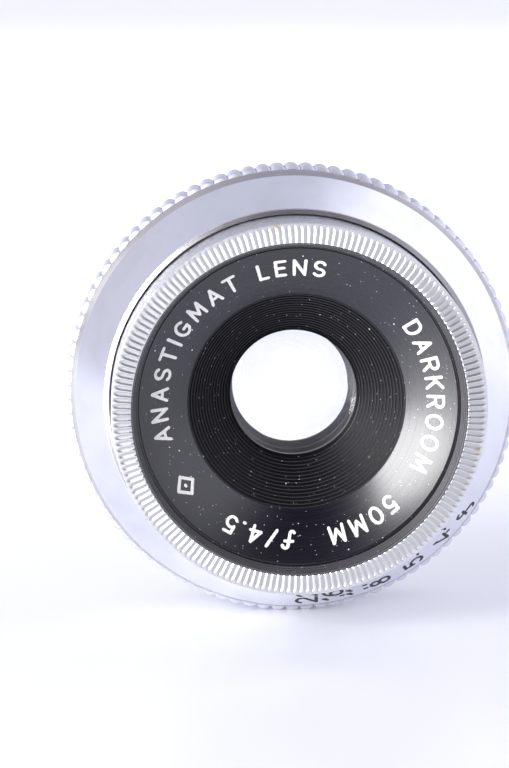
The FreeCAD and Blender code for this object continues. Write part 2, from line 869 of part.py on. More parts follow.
def make_click_parts(doc, sheet):
    """The click ball, the spring behind it and the screw that closes its hole."""
    ball = doc.addObject("Part::Sphere", "click_ball")
    ball.Label = "click_ball"
    bind(ball, "Radius", "click_ball_radius")
    centre = value_of(sheet, "bearing_radius + running_clearance + click_ball_radius")
    station = value_of(sheet, "click_station")
    ball.Placement = LENS_PLACEMENT.multiply(
        FreeCAD.Placement(FreeCAD.Vector(-centre, 0, station), FreeCAD.Rotation())
    )
    screw = make_headless_screw(
        doc, sheet, "click_screw", "click_ball_radius + running_clearance",
        "rim_radius - click_screw_recess - click_screw_length",
        "rim_radius - click_screw_recess", "click_station", "180",
    )
    return [ball, make_click_spring(doc, sheet), screw]


def make_click_spring(doc, sheet):
    """A compression spring between the ball and its screw."""
    wire_radius = 0.09
    coil_radius = 0.42
    turns = 6
    gap = 0.03
    start = value_of(sheet, "bearing_radius + running_clearance + 2 * click_ball_radius")
    end = value_of(sheet, "rim_radius - click_screw_recess - click_screw_length")
    length = end - start - 2 * wire_radius - 2 * gap
    path = Part.makeHelix(length / turns, length, coil_radius)
    profile = Part.Wire(
        Part.makeCircle(wire_radius, FreeCAD.Vector(coil_radius, 0, 0), FreeCAD.Vector(0, 1, 0))
    )
    coil = Part.Wire(path).makePipeShell([profile], True, True)
    spring = doc.addObject("Part::Feature", "click_spring")
    spring.Label = "click_spring"
    spring.Shape = coil
    inward = FreeCAD.Placement(
        FreeCAD.Vector(-(start + gap + wire_radius), 0, value_of(sheet, "click_station")),
        FreeCAD.Rotation(FreeCAD.Vector(0, 0, 1), FreeCAD.Vector(-1, 0, 0)),
    )
    spring.Placement = LENS_PLACEMENT.multiply(inward)
    return spring


def build(doc, sheet):
    """Make every piece, from the mount forward and then from the iris back."""
    pieces = [
        make_main_barrel(doc, sheet),
        make_front_bezel(doc, sheet),
        make_name_ring(doc, sheet),
        make_front_cell(doc, sheet),
    ]
    pieces += make_front_glass(doc)
    pieces += make_lens_rings(doc, sheet)
    pieces += [make_iris_base_plate(doc, sheet), make_iris_retaining_ring(doc, sheet)]
    pieces.append(make_rear_cell(doc, sheet))
    pieces += make_rear_glass(doc)
    pieces += [make_aperture_ring(doc, sheet), make_cam_ring(doc, sheet)]
    pieces.append(
        make_headless_screw(
            doc, sheet, "drive_screw", "drive_screw_radius",
            "cam_radius - 0.8 * cam_skirt_thickness", "rim_radius - drive_screw_recess",
            "drive_screw_station", "drive_screw_angle",
        )
    )
    pieces += make_click_parts(doc, sheet)
    for number in range(1, DIMENSIONS["blade_count"] + 1):
        pieces.append(make_iris_blade(doc, sheet, number))
    return pieces


def check(doc, pieces):
    """Stop if any object failed or any piece is missing its solid."""
    for item in doc.Objects:
        if "Invalid" in item.State or "Error" in item.State:
            raise RuntimeError(f"{item.Label} failed: {item.State}")
    for piece in pieces:
        shape = piece.Shape
        if shape.isNull() or not shape.isValid() or not shape.Solids:
            raise RuntimeError(f"{piece.Label} has no valid solid")


def main():
    doc = FreeCAD.newDocument("enlarging_lens")
    sheet = make_sheet(doc)
    pieces = build(doc, sheet)
    doc.recompute()
    check(doc, pieces)
    os.makedirs("parts", exist_ok=True)
    for piece in pieces:
        piece.Shape.exportStep(f"parts/{piece.Label}.step")
        print(f"{piece.Label:22s} {len(piece.Shape.Solids)} solid {piece.Shape.Volume:10.3f} mm3")


main()
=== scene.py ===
"""Looks of the enlarging lens: turned and knurled metal, lettering, glass, floor, light and camera.

Turned pieces are drawn in the lens's own coordinates, in millimetres: r is the distance from the
optical axis, z the distance forward of the register face, and an angle runs clockwise as seen from
the front, from the right-hand side. The frame's own metres and axes come in at point().
"""

import math

import bmesh
import bpy
from mathutils import Matrix, Vector


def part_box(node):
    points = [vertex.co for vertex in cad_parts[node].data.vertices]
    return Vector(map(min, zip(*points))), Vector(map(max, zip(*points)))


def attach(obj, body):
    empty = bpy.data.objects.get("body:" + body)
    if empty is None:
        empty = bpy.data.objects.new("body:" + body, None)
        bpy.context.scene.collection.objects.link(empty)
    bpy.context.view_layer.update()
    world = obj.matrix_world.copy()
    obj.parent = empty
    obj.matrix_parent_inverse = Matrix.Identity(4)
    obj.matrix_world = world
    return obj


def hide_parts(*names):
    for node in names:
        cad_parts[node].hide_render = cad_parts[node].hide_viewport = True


MM = 0.001

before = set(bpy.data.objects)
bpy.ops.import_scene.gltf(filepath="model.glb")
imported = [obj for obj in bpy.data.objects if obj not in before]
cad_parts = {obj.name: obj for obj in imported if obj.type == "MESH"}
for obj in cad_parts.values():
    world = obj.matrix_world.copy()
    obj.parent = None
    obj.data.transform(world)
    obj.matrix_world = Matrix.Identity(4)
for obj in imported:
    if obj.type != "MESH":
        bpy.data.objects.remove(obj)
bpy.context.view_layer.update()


# ---------------------------------------------------------------- sizes from the frame


def reach(node):
    """Greatest radius, front and rear of a CAD node about the optical axis, in millimetres."""
    low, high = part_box(node)
    radius = max(abs(low.x), abs(high.x), abs(low.z), abs(high.z))
    return radius / MM, -low.y / MM, -high.y / MM


RIM, _, RING_REAR = reach("aperture_ring")
BEZEL, BEZEL_FRONT, BEZEL_REAR = reach("front_bezel")
_, PLATE_FRONT, PLATE_REAR = reach("name_ring")
FLANGE, _, BARREL_REAR = reach("main_barrel")
_, _, CELL_REAR = reach("front_cell")
_, _, TAIL_REAR = reach("rear_cell")


# ---------------------------------------------------------------- mesh building

CORNER_SHARE = 0.35
WELD_DISTANCE = 1e-9


def point(r, angle, z):
    """A point of the lens in the frame's metres; the angle is in radians, clockwise from +X."""
    return Vector((r * math.cos(angle), -z, -r * math.sin(angle))) * MM


def place_of(face):
    """The radius and the forward distance of a mesh face's centre, in millimetres."""
    return math.hypot(face.center.x, face.center.z) / MM, -face.center.y / MM


def soften(outline, size, steps=3):
    """Round every corner of a closed (r, z) outline by about size, less on a short side."""
    result = []
    count = len(outline)
    for i in range(count):
        before = Vector(outline[i - 1])
        corner = Vector(outline[i])
        after = Vector(outline[(i + 1) % count])
        reach_in = min(size, (corner - before).length * CORNER_SHARE)
        reach_out = min(size, (after - corner).length * CORNER_SHARE)
        start = corner + (before - corner).normalized() * reach_in
        end = corner + (after - corner).normalized() * reach_out
        for step in range(steps + 1):
            t = step / steps
            result.append((1 - t) ** 2 * start + 2 * t * (1 - t) * corner + t * t * end)
    return result


def finish_mesh(name, vertices, faces, material, crease=30, weld=False):
    """Link a mesh object with smooth shading that breaks at edges sharper than crease degrees."""
    mesh = bpy.data.meshes.new(name)
    mesh.from_pydata([tuple(v) for v in vertices], [], faces)
    work = bmesh.new()
    work.from_mesh(mesh)
    if weld:
        bmesh.ops.remove_doubles(work, verts=work.verts, dist=WELD_DISTANCE)
    bmesh.ops.recalc_face_normals(work, faces=work.faces)
    work.to_mesh(mesh)
    work.free()
    mesh.shade_smooth()
    mesh.set_sharp_from_angle(angle=math.radians(crease))
    mesh.materials.append(material)
    piece = bpy.data.objects.new(name, mesh)
    bpy.context.scene.collection.objects.link(piece)
    return piece


def lathe(name, outline, material, angles, shape=None, crease=30, hollow=True):
    """Turn an (r, z) outline round the axis, on the given angles.

    The outline is closed when the piece is hollow; otherwise it starts and ends on the axis.
    shape(r, z, index) may move a ring's point at one column of angles.
    """
    vertices = []
    faces = []
    rings = len(outline)
    columns = len(angles)
    for r, z in outline:
        for index, angle in enumerate(angles):
            place = shape(r, z, index) if shape else (r, z)
            vertices.append(point(place[0], angle, place[1]))
    for i in range(rings if hollow else rings - 1):
        ring = i * columns
        following = (i + 1) % rings * columns
        for j in range(columns):
            k = (j + 1) % columns
            faces.append((ring + j, ring + k, following + k, following + j))
    return finish_mesh(name, vertices, faces, material, crease, weld=not hollow)


def even_angles(count):
    return [2 * math.pi * i / count for i in range(count)]


# ---------------------------------------------------------------- material nodes

# The colour sockets of a mix node share their names with its other sockets.
MIX_FIRST, MIX_SECOND, MIX_RESULT = 6, 7, 2
BUMP_HEIGHT = 0.01 * MM


def new_material(name):
    """A material with its node tree and its principled shader."""
    material = bpy.data.materials.new(name)
    material.use_nodes = True
    return material, material.node_tree, material.node_tree.nodes["Principled BSDF"]


def place_node(tree):
    """Coordinates in millimetres, in the frame's axes."""
    source = tree.nodes.new("ShaderNodeTexCoord")
    scale = tree.nodes.new("ShaderNodeVectorMath")
    scale.operation = "SCALE"
    scale.inputs["Scale"].default_value = 1 / MM
    tree.links.new(source.outputs["Object"], scale.inputs[0])
    return scale.outputs["Vector"]


def math_node(tree, operation, first, second):
    """A math node on a socket and another socket or a number."""
    node = tree.nodes.new("ShaderNodeMath")
    node.operation = operation
    tree.links.new(first, node.inputs[0])
    if isinstance(second, float):
        node.inputs[1].default_value = second
    else:
        tree.links.new(second, node.inputs[1])
    return node.outputs[0]


def map_range(tree, value, low, high, to_low=0.0, to_high=1.0, interpolation="LINEAR"):
    """Carry a value from the range low to high over to another range."""
    ramp = tree.nodes.new("ShaderNodeMapRange")
    ramp.interpolation_type = interpolation
    ramp.inputs["From Min"].default_value = low
    ramp.inputs["From Max"].default_value = high
    ramp.inputs["To Min"].default_value = to_low
    ramp.inputs["To Max"].default_value = to_high
    tree.links.new(value, ramp.inputs["Value"])
    return ramp.outputs["Result"]


def mix_colour(tree, factor, first, second):
    """A colour mix; first and second are colours or sockets."""
    mix = tree.nodes.new("ShaderNodeMix")
    mix.data_type = "RGBA"
    tree.links.new(factor, mix.inputs["Factor"])
    for socket, value in ((mix.inputs[MIX_FIRST], first), (mix.inputs[MIX_SECOND], second)):
        if isinstance(value, tuple):
            socket.default_value = (*value, 1)
        else:
            tree.links.new(value, socket)
    return mix.outputs[MIX_RESULT]


def turning_bump(tree, shader, place, pitch, strength):
    """Fine tool marks that run round the optical axis, as a bump; returns their pattern."""
    split = tree.nodes.new("ShaderNodeSeparateXYZ")
    tree.links.new(place, split.inputs[0])
    flat = tree.nodes.new("ShaderNodeCombineXYZ")
    tree.links.new(split.outputs["X"], flat.inputs["X"])
    tree.links.new(split.outputs["Z"], flat.inputs["Z"])
    radius = tree.nodes.new("ShaderNodeVectorMath")
    radius.operation = "LENGTH"
    tree.links.new(flat.outputs[0], radius.inputs[0])
    along = math_node(tree, "ADD", radius.outputs["Value"], split.outputs["Y"])
    lines = tree.nodes.new("ShaderNodeTexNoise")
    lines.noise_dimensions = "1D"
    lines.inputs["Scale"].default_value = 1 / pitch
    lines.inputs["Detail"].default_value = 3
    tree.links.new(along, lines.inputs["W"])
    bump = tree.nodes.new("ShaderNodeBump")
    bump.inputs["Strength"].default_value = strength
    bump.inputs["Distance"].default_value = BUMP_HEIGHT
    tree.links.new(lines.outputs["Fac"], bump.inputs["Height"])
    tree.links.new(bump.outputs["Normal"], shader.inputs["Normal"])
    return lines.outputs["Fac"]


def vary_roughness(tree, shader, factor, low, high):
    rough = map_range(tree, factor, 0.0, 1.0, low, high)
    tree.links.new(rough, shader.inputs["Roughness"])


def radial_tangent(tree, shader):
    """Stretch the highlight round the optical axis, as turned metal does."""
    tangent = tree.nodes.new("ShaderNodeTangent")
    tangent.direction_type = "RADIAL"
    tangent.axis = "Y"
    tree.links.new(tangent.outputs["Tangent"], shader.inputs["Tangent"])


def noise_mask(tree, place, scale, low, high):
    """A soft 0 to 1 mask from noise, between two noise levels."""
    noise = tree.nodes.new("ShaderNodeTexNoise")
    noise.inputs["Scale"].default_value = scale
    noise.inputs["Detail"].default_value = 2
    tree.links.new(place, noise.inputs["Vector"])
    return map_range(tree, noise.outputs["Fac"], low, high)


def speck_mask(tree, place, cell, size, share):
    """A mask of small round specks of radius size, in a share of the cells of a random grid."""
    cells = tree.nodes.new("ShaderNodeTexVoronoi")
    cells.inputs["Scale"].default_value = 1 / cell
    tree.links.new(place, cells.inputs["Vector"])
    near = math_node(tree, "LESS_THAN", cells.outputs["Distance"], size / cell)
    pick = tree.nodes.new("ShaderNodeSeparateColor")
    tree.links.new(cells.outputs["Color"], pick.inputs[0])
    chosen = math_node(tree, "LESS_THAN", pick.outputs["Red"], share)
    return math_node(tree, "MULTIPLY", near, chosen)


def spot_mask(tree, place, centre, size):
    """A soft round mask about one place, roughened by noise."""
    offset = tree.nodes.new("ShaderNodeVectorMath")
    offset.operation = "DISTANCE"
    offset.inputs[1].default_value = centre
    tree.links.new(place, offset.inputs[0])
    near = map_range(tree, offset.outputs["Value"], size, size * 0.3)
    patch = noise_mask(tree, place, 2.2, 0.42, 0.6)
    return math_node(tree, "MULTIPLY", near, patch)


# ---------------------------------------------------------------- materials

CHROME = (0.76, 0.76, 0.78)
BASE_METAL = (0.62, 0.44, 0.16)
RUBBED_SIZE = 0.9
DUST = (
    # grid cell, speck radius, share of the cells, colour
    (0.4, 0.045, 0.45, (0.5, 0.5, 0.53)),
    (1.1, 0.068, 0.4, (0.85, 0.83, 0.8)),
    (3.0, 0.09, 0.35, (0.62, 0.13, 0.05)),
)


def darker(colour, share):
    return tuple(c * share for c in colour)


def metal(name, colour, rough, spread, tool_pitch, tool_strength, lean=0.0):
    """Turned metal: tool marks and faint stains; a lean draws the highlight out round the axis."""
    material, tree, shader = new_material(name)
    place = place_node(tree)
    lines = turning_bump(tree, shader, place, tool_pitch, tool_strength)
    vary_roughness(tree, shader, lines, rough - spread, rough + spread)
    stain = noise_mask(tree, place, 0.35, 0.45, 0.75)
    shade = mix_colour(tree, stain, colour, darker(colour, 0.93))
    tree.links.new(shade, shader.inputs["Base Color"])
    shader.inputs["Metallic"].default_value = 1.0
    if lean:
        shader.inputs["Anisotropic"].default_value = lean
        radial_tangent(tree, shader)
    return material


def worn_chrome(name, spots):
    """Bright plating with the base metal showing through at a few rubbed spots."""
    material, tree, shader = new_material(name)
    place = place_node(tree)
    shade = CHROME
    for centre in spots:
        rubbed = spot_mask(tree, place, centre, RUBBED_SIZE)
        shade = mix_colour(tree, rubbed, shade, BASE_METAL)
    tree.links.new(shade, shader.inputs["Base Color"])
    cloud = noise_mask(tree, place, 1.6, 0.3, 0.7)
    vary_roughness(tree, shader, cloud, 0.26, 0.38)
    shader.inputs["Metallic"].default_value = 1.0
    return material


def dusty_black(name, colour, rough, gloss, tool_strength):
    """Black finish with fine and coarse pale dust and a rare red speck."""
    material, tree, shader = new_material(name)
    place = place_node(tree)
    lines = turning_bump(tree, shader, place, 0.09, tool_strength)
    vary_roughness(tree, shader, lines, rough - 0.04, rough + 0.05)
    shader.inputs["Specular IOR Level"].default_value = gloss
    shade = colour
    for cell, size, share, tint in DUST:
        shade = mix_colour(tree, speck_mask(tree, place, cell, size, share), shade, tint)
    tree.links.new(shade, shader.inputs["Base Color"])
    return material


def paint(name, colour, rough):
    """Filled lettering paint, slightly uneven."""
    material, tree, shader = new_material(name)
    place = place_node(tree)
    patch = noise_mask(tree, place, 3.0, 0.35, 0.7)
    shade = mix_colour(tree, patch, colour, darker(colour, 0.9))
    tree.links.new(shade, shader.inputs["Base Color"])
    shader.inputs["Roughness"].default_value = rough
    return material


def polished_glass(name):
    """Clear glass with the faintest haze."""
    material, tree, shader = new_material(name)
    place = place_node(tree)
    haze = noise_mask(tree, place, 0.8, 0.3, 0.8)
    vary_roughness(tree, shader, haze, 0.0, 0.015)
    shader.inputs["Base Color"].default_value = (0.99, 0.99, 1.0, 1)
    shader.inputs["Transmission Weight"].default_value = 1.0
    shader.inputs["IOR"].default_value = 1.6
    return material


# ---------------------------------------------------------------- lettering


def arc(cx, cy, rx, ry, start, end):
    """Points of an elliptical arc, in letter heights; the angles are in degrees."""
    steps = max(4, int(abs(end - start) / 15))
    turns = [math.radians(start + (end - start) * i / steps) for i in range(steps + 1)]
    return [(cx + rx * math.cos(t), cy + ry * math.sin(t)) for t in turns]


def line(*points):
    """Straight strokes between points, one after another."""
    return [[points[i], points[i + 1]] for i in range(len(points) - 1)]


def glyphs():
    """A plain single-stroke alphabet: for each character, its width and its strokes."""
    stem = line((0, 0), (0, 1))
    bowl = line((0, 0), (0, 1), (0.34, 1)) + [arc(0.34, 0.74, 0.27, 0.26, 90, -90)]
    bowl += line((0.34, 0.48), (0, 0.48))
    diamond = line((0.6, -0.1), (1.2, 0.5), (0.6, 1.1), (0, 0.5), (0.6, -0.1))
    return {
        "A": (0.72, line((0, 0), (0.36, 1), (0.72, 0)) + line((0.14, 0.32), (0.58, 0.32))),
        "D": (0.64, line((0.3, 0), (0, 0), (0, 1), (0.3, 1))
              + [arc(0.3, 0.5, 0.34, 0.5, 90, -90)]),
        "E": (0.52, line((0.52, 1), (0, 1), (0, 0), (0.52, 0)) + line((0, 0.52), (0.45, 0.52))),
        "G": (0.72, [arc(0.38, 0.5, 0.38, 0.5, 50, 325)]
              + line((0.42, 0.44), (0.72, 0.44), (0.70, 0.2))),
        "I": (0.0, stem),
        "K": (0.6, stem + line((0.58, 1), (0, 0.42)) + line((0.2, 0.6), (0.6, 0))),
        "L": (0.48, line((0, 1), (0, 0), (0.48, 0))),
        "M": (0.84, line((0, 0), (0.1, 1), (0.42, 0.2), (0.74, 1), (0.84, 0))),
        "N": (0.64, line((0, 0), (0, 1), (0.64, 0), (0.64, 1))),
        "O": (0.76, [arc(0.38, 0.5, 0.38, 0.5, 0, 360)]),
        "R": (0.62, bowl + line((0.32, 0.48), (0.62, 0))),
        "S": (0.6, [arc(0.3, 0.74, 0.27, 0.26, 30, 270), arc(0.3, 0.24, 0.3, 0.24, 90, -150)]),
        "T": (0.64, line((0, 1), (0.64, 1)) + line((0.32, 1), (0.32, 0))),
        "0": (0.62, [arc(0.31, 0.5, 0.31, 0.5, 0, 360)]),
        "1": (0.18, line((0, 0.8), (0.18, 1), (0.18, 0))),
        "2": (0.58, [arc(0.29, 0.71, 0.28, 0.29, 165, -38)]
              + line((0.51, 0.53), (0, 0), (0.58, 0))),
        "4": (0.64, line((0.47, 0), (0.47, 1), (0, 0.3), (0.64, 0.3))),
        "5": (0.56, line((0.52, 1), (0.1, 1), (0.05, 0.56))
              + [arc(0.26, 0.33, 0.3, 0.33, 125, -145)]),
        "6": (0.58, [arc(0.29, 0.31, 0.29, 0.31, 0, 360), arc(0.53, 0.31, 0.53, 0.69, 180, 98)]),
        "8": (0.56, [arc(0.28, 0.77, 0.23, 0.23, 0, 360), arc(0.28, 0.27, 0.28, 0.27, 0, 360)]),
        "f": (0.6, [arc(0.5, 0.82, 0.16, 0.18, 10, 165), [(0.34, 0.86), (0.24, 0.12)],
                    arc(0.1, 0.1, 0.14, 0.16, 0, -150)] + line((0.08, 0.56), (0.52, 0.56))),
        "/": (0.5, line((0, -0.02), (0.5, 1.02))),
        ".": (0.04, line((0.0, 0.05), (0.04, 0.05))),
        "*": (1.2, diamond + line((0.58, 0.5), (0.62, 0.5))),
        " ": (0.35, []),
    }


GLYPHS = glyphs()
# A stroke's section: shares of its half width and of its height.
SECTION = ((-1.0, -0.6), (-0.8, 0.75), (0.0, 1.0), (0.8, 0.75), (1.0, -0.6))
# Where the sections of a stroke's round end stand, in degrees from its side.
CAP_TURNS = (80, 50, 25)


def stroke_rings(points, half_width):
    """Sections along one stroke with round ends: (centre, sideways direction, half width)."""
    path = [Vector(p) for p in points]
    rings = []
    first = (path[1] - path[0]).normalized()
    last = (path[-1] - path[-2]).normalized()
    for turn in CAP_TURNS:
        t = math.radians(turn)
        rings.append((path[0] - first * half_width * math.sin(t), first, half_width * math.cos(t)))
    for i, place in enumerate(path):
        before = path[max(i - 1, 0)]
        after = path[min(i + 1, len(path) - 1)]
        rings.append((place, (after - before).normalized(), half_width))
    for turn in reversed(CAP_TURNS):
        t = math.radians(turn)
        rings.append((path[-1] + last * half_width * math.sin(t), last, half_width * math.cos(t)))
    return [(c, Vector((-d.y, d.x)), w) for c, d, w in rings]


def add_stroke(vertices, faces, points, half_width, height, place):
    """Add one stroke as a low rounded ridge; place(u, v, lift) puts it on a surface."""
    start = len(vertices)
    rings = stroke_rings(points, half_width)
    wide = len(SECTION)
    for centre, side, width in rings:
        for across, lift in SECTION:
            spot = centre + side * width * across
            vertices.append(place(spot.x, spot.y, lift * height))
    for i in range(len(rings) - 1):
        for j in range(wide):
            k = (j + 1) % wide
            a = start + i * wide
            b = a + wide
            faces.append((a + j, a + k, b + k, b + j))
    faces.append(tuple(start + j for j in range(wide)))
    faces.append(tuple(start + (len(rings) - 1) * wide + j for j in reversed(range(wide))))


def write(vertices, faces, text, size, gap, pen, height, place):
    """Write a text from u = 0 on, with its letters size high; place is as in add_stroke."""
    cursor = 0.0
    for character in text:
        width, strokes = GLYPHS[character]
        for stroke in strokes:
            points = [((cursor + x) * size, y * size) for x, y in stroke]
            add_stroke(vertices, faces, points, pen, height, place)
        cursor += width + gap


# ---------------------------------------------------------------- the knurled bezel

BEZEL_BORE = 15.43
BEZEL_SKIRT = 14.75
BEZEL_SHOULDER = 13.3
BEZEL_EDGE_FRONT = BEZEL_FRONT - 0.2
KNURLS = 180
# Columns of points across one knurl, in pitches from the middle of its groove.
KNURL_COLUMNS = (-0.5, -0.44, -0.38, -0.3, -0.16, 0.0, 0.16, 0.3, 0.38, 0.44)
KNURL_HALF = 0.43
KNURL_DEPTH = 0.1
KNURL_START = BEZEL_BORE + 0.06
KNURL_END = BEZEL - 0.12
# A groove opens from 0 to 1 over its run-out. Its width grows with a power of that, which draws
# its outer end to a point, and its depth is full before its width is.
KNURL_RUN_OUT = 0.5
KNURL_POINT = 0.6
KNURL_DEEPENING = 1.6
SLACK = 0.01


def groove_opening(r):
    """How far along its run-out a knurl groove is: 0 at its outer end, 1 where it is full."""
    return min(1.0, max(0.0, (KNURL_END - r) / KNURL_RUN_OUT))


def groove_half(r):
    """Half of a knurl groove's width, in pitches."""
    return KNURL_HALF * groove_opening(r) ** KNURL_POINT


def make_bezel(material, groove_shade_material):
    """Bright sleeve whose front face carries radial grooves that run out at its edge."""
    pitch = 2 * math.pi / KNURLS
    angles = [pitch * (i + c) for i in range(KNURLS) for c in KNURL_COLUMNS]
    fall = (BEZEL_FRONT - BEZEL_EDGE_FRONT) / (BEZEL - BEZEL_BORE)
    # The rings crowd towards the outer end, where the grooves come to a point.
    crowded = [15.75, 16.1, 16.4, 16.6, 16.72, 16.82, 16.91, 16.99, 17.06]
    grooved = [KNURL_START, *crowded, KNURL_END]
    outline = [
        (BEZEL_BORE, BEZEL_SHOULDER),
        (BEZEL_BORE, BEZEL_FRONT - 0.03),
        *[(r, BEZEL_FRONT - (r - BEZEL_BORE) * fall) for r in grooved],
        (BEZEL - 0.015, BEZEL_EDGE_FRONT - 0.01),
        (BEZEL, BEZEL_EDGE_FRONT - 0.025),
        (BEZEL, 12.0),
        (BEZEL, BEZEL_REAR + 0.1),
        (BEZEL - 0.1, BEZEL_REAR),
        (BEZEL_SKIRT + 0.1, BEZEL_REAR),
        (BEZEL_SKIRT, BEZEL_REAR + 0.1),
        (BEZEL_SKIRT, BEZEL_SHOULDER - 0.1),
        (BEZEL_SKIRT + 0.1, BEZEL_SHOULDER),
    ]

    def groove(r, z, index):
        on_face = BEZEL_BORE - SLACK < r < KNURL_END + SLACK and z > BEZEL_EDGE_FRONT - SLACK
        across = abs(KNURL_COLUMNS[index % len(KNURL_COLUMNS)])
        half = groove_half(r)
        if not on_face or across >= half:
            return r, z
        depth = KNURL_DEPTH * min(1.0, groove_opening(r) * KNURL_DEEPENING)
        return r, z - depth * (1 - (across / half) ** 2)

    piece = lathe("bezel_shell", outline, material, angles, groove, crease=24)
    # The grooves take a darker, rougher metal; its darker colour is painted shade in the grooves.
    piece.data.materials.append(groove_shade_material)
    for face in piece.data.polygons:
        r, z = place_of(face)
        turns = math.atan2(-face.center.z, face.center.x) / pitch
        across = abs((turns + 0.5) % 1.0 - 0.5)
        on_face = r > BEZEL_BORE + 0.03 and z > BEZEL_EDGE_FRONT - KNURL_DEPTH
        if on_face and across < groove_half(r):
            face.material_index = 1
    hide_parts("front_bezel")
    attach(piece, "barrel")
    return piece


# ---------------------------------------------------------------- the aperture ring

# How far forward the click ball stands, and the half length of the groove that it runs in.
CLICK = 3.9
CLICK_HALF = 0.7
RING_BORE = 15.36
RING_COUNTERBORE = 17.36
BEARING_END = 6.25
LOBES = 96
LOBE_STEPS = 12
LOBE_ROOT = RIM - 0.46
# The lobes have the rim's finish up to here.
RIM_FRONT = 6.1
# Ends of the sloping scale face, and the inner edge of its front bevel, as (r, z).
CONE_REAR = (20.63, 7.37)
CONE_FRONT = (17.88, 10.93)
LIP = (17.45, 10.79)


def lobe_angles():
    """Angles that crowd towards the valleys, so that each lobe is a clean half round."""
    pitch = 2 * math.pi / LOBES
    steps = [(1 - math.cos(math.pi * i / LOBE_STEPS)) / 2 for i in range(LOBE_STEPS)]
    return [pitch * (i + s - 0.5) for i in range(LOBES) for s in steps]


def make_scale_ring(cone, bevel, rim):
    """Scalloped ring with a sloping scale face; each zone has its own finish."""
    outline = soften(
        [
            (RING_BORE, RING_REAR),
            (LOBE_ROOT - 0.3, RING_REAR),
            (LOBE_ROOT, RING_REAR + 0.12),
            (RIM - 0.16, RING_REAR + 0.5),
            (RIM, RING_REAR + 0.8),
            (RIM, 5.75),
            (RIM - 0.1, 5.98),
            (LOBE_ROOT, 6.14),
            CONE_REAR,
            CONE_FRONT,
            LIP,
            (RING_COUNTERBORE, 10.6),
            (RING_COUNTERBORE, BEARING_END),
            (RING_BORE, BEARING_END),
            (RING_BORE, CLICK + CLICK_HALF + 0.05),
            (16.65, CLICK + CLICK_HALF),
            (16.65, CLICK - CLICK_HALF),
            (RING_BORE, CLICK - CLICK_HALF - 0.05),
        ],
        0.05,
    )

    def lobe(r, z, index):
        swell = math.sin(math.pi * (index % LOBE_STEPS) / LOBE_STEPS)
        return (LOBE_ROOT + (r - LOBE_ROOT) * swell if r > LOBE_ROOT + 0.001 else r), z

    piece = lathe("scale_ring", outline, cone, lobe_angles(), lobe, crease=35)
    piece.data.materials.append(bevel)
    piece.data.materials.append(rim)
    for face in piece.data.polygons:
        r, z = place_of(face)
        if z < RIM_FRONT or r < LIP[0] - 0.02:
            face.material_index = 2
        elif z < CONE_REAR[1] - 0.06 or r < CONE_FRONT[0] - 0.05:
            face.material_index = 1
    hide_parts("aperture_ring")
    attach(piece, "aperture_ring")
    return piece


STOPS = (
    # figures, angle of their middle
    ("f", 35.0),
    ("4.5", 44.5),
    ("5.6", 55.0),
    ("8", 65.5),
    ("11", 72.3),
    ("16", 79.1),
    ("22", 86.5),
)
FIGURE_SIZE = 1.85
# The gap between figures is a share of their size; a pen is half the width of a stroke.
FIGURE_GAP = 0.24
FIGURE_PEN = 0.19
# How far the figures stand from the rear edge of the scale face.
FIGURE_START = 0.5
INDEX_ANGLE = 44.5
INDEX_LENGTH = 1.7
INDEX_PEN = 0.14
PAINT_HEIGHT = 0.012


def make_scale_numbers(material):
    """Black aperture figures on the sloping face, tops clockwise, read from the rim inwards."""
    slope = Vector((CONE_FRONT[0] - CONE_REAR[0], CONE_FRONT[1] - CONE_REAR[1])).normalized()
    outward = Vector((slope.y, -slope.x))
    middle = CONE_REAR[0] - 1.0
    vertices = []
    faces = []
    for text, degrees in STOPS:
        centre = math.radians(degrees)

        def place(u, v, lift):
            spot = Vector(CONE_REAR) + slope * (FIGURE_START + u) + outward * lift
            return point(spot.x, centre + (v - FIGURE_SIZE / 2) / middle, spot.y)

        write(vertices, faces, text, FIGURE_SIZE, FIGURE_GAP, FIGURE_PEN, PAINT_HEIGHT, place)
    piece = finish_mesh("scale_numbers", vertices, faces, material)
    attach(piece, "aperture_ring")
    return piece


def make_index_mark(material):
    """The fixed line on the bezel that the aperture figures are set against."""
    vertices = []
    faces = []
    angle = math.radians(INDEX_ANGLE)

    def place(u, v, lift):
        return point(BEZEL + lift, angle + v / BEZEL, LIP[1] + 0.35 + u)

    add_stroke(vertices, faces, [(0, 0), (INDEX_LENGTH, 0)], INDEX_PEN, PAINT_HEIGHT, place)
    piece = finish_mesh("index_mark", vertices, faces, material)
    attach(piece, "barrel")
    return piece


# ---------------------------------------------------------------- black front

# Ends of the dished face that carries the lettering, and the foot of the raised rim, as (r, z).
FACE_INNER = (10.14, 12.29)
FACE_OUTER = (14.7, 14.96)
RIM_FOOT = (14.95, 15.2)
RIM_STEPS = 4
RIM_SLOPE = 0.55


def rim_steps():
    """The raised rim climbs in a few fine turned steps."""
    foot = Vector(RIM_FOOT)
    rise = (Vector((BEZEL_BORE - 0.16, PLATE_FRONT - 0.06)) - foot) / RIM_STEPS
    points = []
    for i in range(RIM_STEPS):
        start = foot + rise * i
        points.append(tuple(start))
        points.append((start.x + 0.01, start.y + rise.y - rise.x * RIM_SLOPE))
    return points


def make_name_plate(material, rim_sheen_material):
    """Dished black ring with a groove and a raised, sloping rim."""
    outline = soften(
        [
            FACE_INNER,
            FACE_OUTER,
            (14.72, 14.74),
            (14.94, 14.74),
            *rim_steps(),
            (BEZEL_BORE - 0.14, PLATE_FRONT),
            (BEZEL_BORE - 0.05, PLATE_FRONT),
            (BEZEL_BORE - 0.05, PLATE_REAR + 2.2),
            (14.0, PLATE_REAR + 2.1),
            (FACE_INNER[0], PLATE_REAR + 0.03),
        ],
        0.035,
    )
    piece = lathe("name_plate", outline, material, even_angles(256))
    # The rim's black is paler than the enamel: painted sheen for the light its steps catch, with
    # dust.
    piece.data.materials.append(rim_sheen_material)
    for face in piece.data.polygons:
        if place_of(face)[0] > RIM_FOOT[0]:
            face.material_index = 1
    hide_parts("name_ring")
    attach(piece, "barrel")
    return piece


